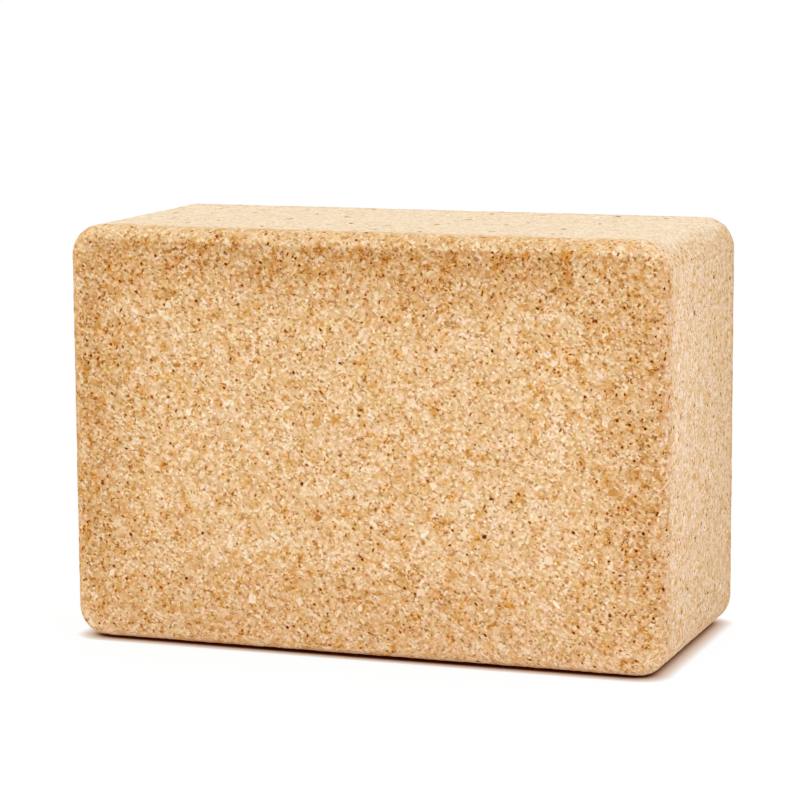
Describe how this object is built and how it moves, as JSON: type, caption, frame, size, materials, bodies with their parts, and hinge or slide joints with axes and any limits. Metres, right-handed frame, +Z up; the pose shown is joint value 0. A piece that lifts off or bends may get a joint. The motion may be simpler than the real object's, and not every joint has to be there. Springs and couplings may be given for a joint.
{
  "type": "yoga block",
  "caption": "Rectangular block pressed from cork granules, with rounded corners and edges; stands on any face as a firm support for hand, foot or hip.",
  "frame": {"origin": "middle of the long narrow face that the block stands on", "axes": "+X along the block, +Y through it in the pressing direction with the pictured broad face at -Y, +Z up"},
  "size_m": [0.225, 0.1, 0.1525],
  "materials": {
    "pressed_cork": "matt pressed cork granules, sanded",
    "pale_cork": "matt pale cork",
    "amber_cork": "matt amber cork",
    "bark": "matt dark bark"
  },
  "bodies": {
    "root": {"pressed_body": "pressed_cork", "pale_granules": "pale_cork", "amber_granules": "amber_cork", "bark_granules": "bark"}
  },
  "joints": []
}
